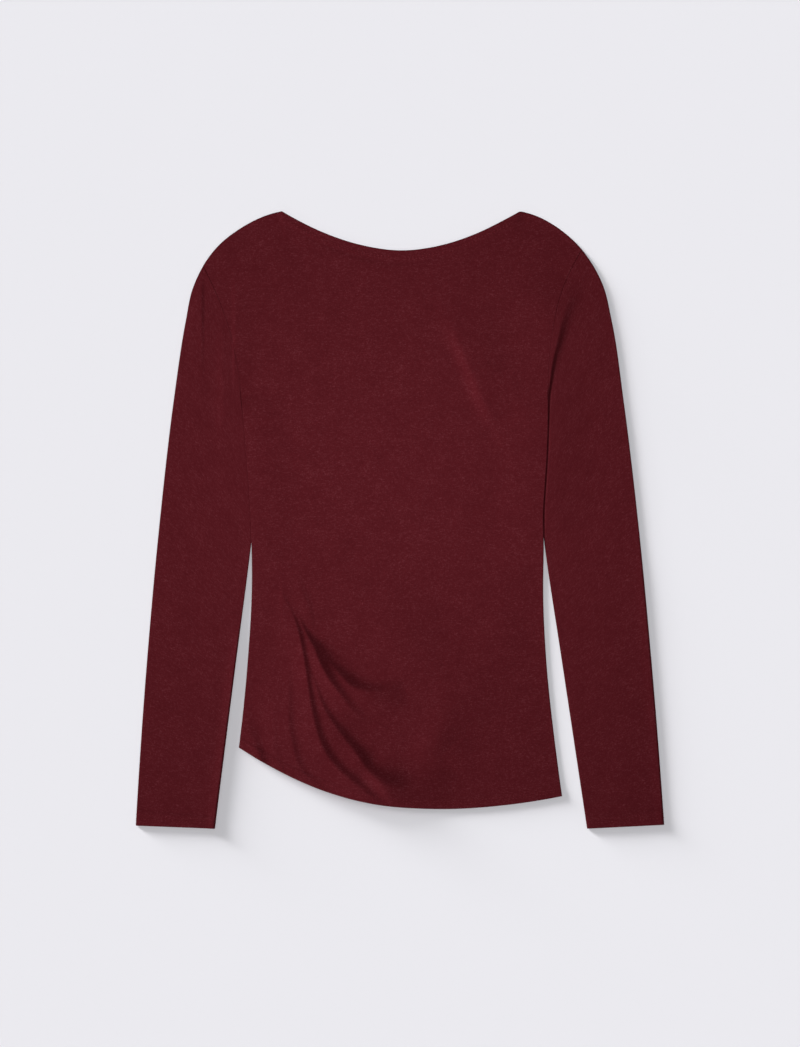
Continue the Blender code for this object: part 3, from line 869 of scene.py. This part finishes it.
def melange_group():
    """Jersey of mixed yarns: its colour and the relief of its stitches."""
    group = bpy.data.node_groups.new("Melange Jersey", "ShaderNodeTree")
    for way, kinds in (("INPUT", MELANGE_INPUTS), ("OUTPUT", MELANGE_OUTPUTS)):
        for name, kind in kinds.items():
            group.interface.new_socket(name=name, in_out=way, socket_type="NodeSocket" + kind)
    source = node(group, "NodeGroupInput").outputs
    sink = node(group, "NodeGroupOutput").inputs
    place, wale = source["Cloth"], source["Wale"]

    def calc(operation, first, second=0.0):
        return maths(group, operation, first, second)

    # Stitches stand in columns, each a row of nested Vs
    separate = node(group, "ShaderNodeSeparateXYZ", {0: place}).outputs
    column = calc("DIVIDE", separate[0], wale)
    course = calc("DIVIDE", separate[1], calc("MULTIPLY", wale, COURSE_SHARE))
    half = calc("PINGPONG", column, 0.5)
    slanted = calc("ADD", course, half)
    rib = calc("SINE", calc("MULTIPLY", half, FULL_TURN))
    loop = calc("SINE", calc("MULTIPLY", slanted, FULL_TURN))
    relief = calc("ADD", rib, calc("MULTIPLY", loop, 0.35))

    # Fibres run across, so each course is streaked with darker and lighter yarn
    streaks = noise(group, place, (330.0, 1150.0, 500.0), 2.0, 0.6)
    speckle = noise(group, place, (900.0, 1000.0, 500.0), 1.0, 0.6)
    patches = noise(group, place, (55.0, 75.0, 500.0), 2.0, 0.5)
    mixed = calc("ADD", calc("ADD", streaks, speckle), calc("MULTIPLY", patches, 0.2))
    light = calc("MAXIMUM", calc("SUBTRACT", mixed, 0.035), 0.0)
    dark = calc("MAXIMUM", calc("MULTIPLY", mixed, -1.0), 0.0)
    light, dark = calc("MULTIPLY", light, 2.0), calc("MULTIPLY", dark, 1.5)
    color = mixed_color(group, dark, source["Yarn"], source["Dark Yarn"])
    color = mixed_color(group, light, color, source["Light Yarn"])
    shade = calc("ADD", calc("MULTIPLY", patches, 0.10), 1.0)
    shaded = node(group, "ShaderNodeVectorMath", {0: color, "Scale": shade}, operation="SCALE")
    roughness = calc("ADD", calc("MULTIPLY", mixed, 0.1), 0.93)
    connect(group, sink, {"Color": shaded.outputs[0], "Roughness": roughness, "Height": relief})
    return group


def new_material(name, inputs):
    """A material whose shader has these values, and its node tree."""
    material = bpy.data.materials.new(name)
    material.use_nodes = True
    tree = material.node_tree
    connect(tree, tree.nodes["Principled BSDF"].inputs, {"Specular IOR Level": 0.0, **inputs})
    return material, tree


def jersey_material(name, group, cloth, lightness):
    """Jersey or its thread: a matt knit with a faint nap."""
    sheen = {"Sheen Weight": 0.02, "Sheen Roughness": 0.5, "Sheen Tint": (0.6, 0.25, 0.27, 1)}
    material, tree = new_material(name, sheen)
    place = node(tree, "ShaderNodeAttribute", attribute_name="cloth").outputs["Vector"]
    inputs = {"Cloth": place, "Wale": cloth.wale}
    yarns = {"Yarn": cloth.yarn, "Dark Yarn": cloth.dark_yarn, "Light Yarn": cloth.light_yarn}
    for part, color in yarns.items():
        inputs[part] = (*(lightness * each for each in color), 1)
    knit = node(tree, "ShaderNodeGroup", inputs, node_tree=group).outputs
    relief = {"Strength": 0.35, "Distance": 0.00012, "Height": knit["Height"]}
    bump = node(tree, "ShaderNodeBump", relief).outputs["Normal"]
    links = {"Base Color": knit["Color"], "Roughness": knit["Roughness"], "Normal": bump}
    connect(tree, tree.nodes["Principled BSDF"].inputs, links)
    return material


def finishes(cloth):
    """The jersey and its thread, made once."""
    group = bpy.data.node_groups.get("Melange Jersey") or melange_group()
    return [
        bpy.data.materials.get(name) or jersey_material(name, group, cloth, lightness)
        for name, lightness in (("melange_jersey", 1.0), ("stitch_thread", THREAD_LIGHTNESS))
    ]


# Stage


def build_floor(stage):
    """A wide pale floor, just under the cloth."""
    mesh = bpy.data.meshes.new("floor")
    low, high = -FLOOR_REACH, FLOOR_REACH
    corners = [(low, low, 0), (high, low, 0), (high, high, 0), (low, high, 0)]
    mesh.from_pydata(corners, [], [(0, 1, 2, 3)])
    inputs = {"Base Color": (*stage.floor_color, 1), "Roughness": 1.0}
    mesh.materials.append(new_material("floor", inputs)[0])
    floor = bpy.data.objects.new("floor", mesh)
    floor.location.z = BOX_LOW.z - FLOOR_GAP
    bpy.context.scene.collection.objects.link(floor)
    return floor


def collected(name, objects):
    """A collection that a light can be limited to."""
    group = bpy.data.collections.new(name)
    for obj in objects:
        group.objects.link(obj)
    return group


def light(name, kind, place, target, strength, lit, blockers=None, **settings):
    """A light aimed at a target. It reaches only what is lit, and only blockers stop it."""
    data = bpy.data.lights.new(name, kind)
    data.energy = strength
    for key, value in settings.items():
        setattr(data, key, value)
    lamp = bpy.data.objects.new(name, data)
    lamp.location = place
    lamp.rotation_euler = (Vector(target) - Vector(place)).to_track_quat("-Z", "Y").to_euler()
    bpy.context.scene.collection.objects.link(lamp)
    lamp.light_linking.receiver_collection = collected(name + "_light", lit)
    if blockers:
        lamp.light_linking.blocker_collection = collected(name + "_shade", blockers)


def build_world(stage):
    """Even light from all sides, and a plain pale backdrop."""
    world = bpy.data.worlds.new("studio")
    bpy.context.scene.world = world
    world.use_nodes = True
    tree = world.node_tree
    tree.nodes.clear()
    ambient = node(tree, "ShaderNodeBackground", {"Color": (1, 1, 1, 1), "Strength": stage.ambient})
    backdrop = node(tree, "ShaderNodeBackground", {"Color": (*BACKDROP, 1)})
    seen = node(tree, "ShaderNodeLightPath").outputs["Is Camera Ray"]
    shown = {0: seen, 1: ambient.outputs[0], 2: backdrop.outputs[0]}
    surface = node(tree, "ShaderNodeMixShader", shown).outputs[0]
    node(tree, "ShaderNodeOutputWorld", {"Surface": surface})


def build_lights(stage, floor, cloth):
    """Soft lamps on the cloth alone, and low and even suns on the floor alone."""
    middle = (BOX_LOW + BOX_HIGH) / 2
    light("key", "AREA", KEY_PLACE, middle, stage.key, cloth, size=2.1)
    light("fill", "AREA", FILL_PLACE, middle, stage.fill, cloth, size=0.5)
    light("top", "AREA", TOP_PLACE, (*TOP_PLACE[:2], 0), stage.top, cloth, size=0.4)
    # High folds would throw long shadows past the hem, so the front blocks only the steeper half
    under = [each for each in cloth if not each.name.startswith("front")]
    halves = (("graze", cloth, *STEEP_GRAZE), ("graze_under", under, *LOW_GRAZE))
    for name, blockers, height, share in halves:
        place, strength = (*GRAZE_PLACE, height), stage.graze * share
        light(name, "SUN", place, (0, 0, 0), strength, [floor], blockers, angle=0.27)
    light("bounce", "SUN", (0, 0, 1), (0, 0, 0), stage.bounce, [floor], [floor], angle=0.5)


def build_camera(stage):
    """A camera straight above the cloth."""
    data = bpy.data.cameras.new("camera")
    data.lens = stage.lens
    data.sensor_width = SENSOR
    camera = bpy.data.objects.new("camera", data)
    distance = stage.view_length * stage.lens / SENSOR
    camera.location = (0.0, VIEW_CENTRE_Y, distance)
    bpy.context.scene.collection.objects.link(camera)
    bpy.context.scene.camera = camera


# Settings, operators and panel


def amount(name, description, default, **limits):
    """A setting that is one number."""
    return FloatProperty(name=name, description=description, default=default, **limits)


def metres(name, description, default, **limits):
    """A small length, shown to a hundredth of a millimetre."""
    return amount(name, description, default, precision=5, unit="LENGTH", **limits)


def tint(name, description, default):
    """A setting that is a color."""
    return FloatVectorProperty(name=name, description=description, default=default, subtype="COLOR")


class ClothSettings(bpy.types.PropertyGroup):
    """The jersey and its yarns"""

    layer: metres("Layer", "Thickness of one layer of jersey", 0.0009, min=0.0004, max=0.0012)
    turning: metres("Turning", "What a turned edge adds once pressed", 0.0005, min=0, max=0.001)
    crease_depth: amount("Crease depth", "Depth of all creases, 1 as drawn", 1.0, min=0, max=1.5)
    wale: metres("Wale", "Distance from one column of stitches to the next", 0.0008)
    yarn: tint("Yarn", "Main yarn", (0.0855, 0.0095, 0.0134))
    dark_yarn: tint("Dark yarn", "Dark fibres in the mix", (0.0635, 0.0058, 0.0086))
    light_yarn: tint("Light yarn", "Light fibres in the mix", (0.142, 0.0275, 0.036))


class StageSettings(bpy.types.PropertyGroup):
    """The camera, the floor and the lights"""

    lens: amount("Lens", "Camera lens in millimetres", 85.0)
    view_length: amount("View length", "Floor along the view's long side", 1.094, unit="LENGTH")
    floor_color: tint("Floor", "Colour of the floor", (0.8, 0.792, 0.831))
    ambient: amount("Ambient", "Light from all sides", 0.225)
    bounce: amount("Bounce", "Even light that only the floor gets", 1.22)
    key: amount("Key", "Power of the soft key light", 211.0)
    fill: amount("Fill", "Power of the light past the neck", 0.35)
    top: amount("Top", "Power of the light over the chest", 0.77)
    graze: amount("Graze", "Strength of the low light on the floor", 13.9)


class JerseyTopSettings(bpy.types.PropertyGroup):
    """All settings of the jersey top"""

    cloth: PointerProperty(type=ClothSettings)
    stage: PointerProperty(type=StageSettings)


def lay(piece, sewn, solid, rests_on, flat, area):
    """Hide the solid that a piece stands in for."""
    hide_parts(solid)


class TOP_OT_front(bpy.types.Operator):
    """Build the front with its draped hip"""

    bl_idname = "jersey_top.front"
    bl_label = "Front"

    def execute(self, context):
        cloth = context.scene.jersey_top.cloth
        pieces = build_front(cloth, *finishes(cloth))
        lay(*pieces, "front_panel", ["back"], PANEL_CUT, PANEL_AREA)
        return {"FINISHED"}


class TOP_OT_back(bpy.types.Operator):
    """Build the back, which lies on the floor"""

    bl_idname = "jersey_top.back"
    bl_label = "Back"

    def execute(self, context):
        cloth = context.scene.jersey_top.cloth
        pieces = build_back(cloth, *finishes(cloth))
        lay(*pieces, "back_panel", [], PANEL_CUT, PANEL_AREA)
        return {"FINISHED"}


class TOP_OT_sleeves(bpy.types.Operator):
    """Build both sleeves as flattened tubes"""

    bl_idname = "jersey_top.sleeves"
    bl_label = "Sleeves"

    def execute(self, context):
        cloth = context.scene.jersey_top.cloth
        for sleeve in SLEEVES:
            pieces = build_sleeve(*sleeve, cloth, *finishes(cloth))
            lay(*pieces, sleeve[0], [], SLEEVE_CUT, SLEEVE_AREA)
        return {"FINISHED"}


class TOP_OT_stage(bpy.types.Operator):
    """Build the floor, the soft light and the camera"""

    bl_idname = "jersey_top.stage"
    bl_label = "Stage"

    def execute(self, context):
        stage, scene = context.scene.jersey_top.stage, context.scene
        scene.view_settings.view_transform = "Standard"
        floor = build_floor(stage)
        cloth = [each for each in scene.objects if "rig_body" in each and each.type == "MESH"]
        build_world(stage)
        build_lights(stage, floor, cloth)
        build_camera(stage)
        return {"FINISHED"}


class TOP_PT_panel(bpy.types.Panel):
    """The settings and a button for each operator"""

    bl_idname = "TOP_PT_panel"
    bl_label = "Jersey Top"
    bl_space_type = "VIEW_3D"
    bl_region_type = "UI"
    bl_category = "Jersey Top"

    def draw(self, context):
        settings = context.scene.jersey_top
        for group in (settings.cloth, settings.stage):
            box = self.layout.box()
            for name in group.__annotations__:
                box.prop(group, name)
        for operator in OPERATORS:
            self.layout.operator(operator.bl_idname)


OPERATORS = (TOP_OT_back, TOP_OT_front, TOP_OT_sleeves, TOP_OT_stage)
CLASSES = (ClothSettings, StageSettings, JerseyTopSettings, *OPERATORS, TOP_PT_panel)


def register():
    for each in CLASSES:
        bpy.utils.register_class(each)
    bpy.types.Scene.jersey_top = PointerProperty(type=JerseyTopSettings)


def unregister():
    del bpy.types.Scene.jersey_top
    for each in reversed(CLASSES):
        bpy.utils.unregister_class(each)


def main():
    """Build all pieces and the stage."""
    register()
    bpy.ops.jersey_top.back()
    bpy.ops.jersey_top.front()
    bpy.ops.jersey_top.sleeves()
    bpy.ops.jersey_top.stage()


if __name__ == "__main__":
    main()
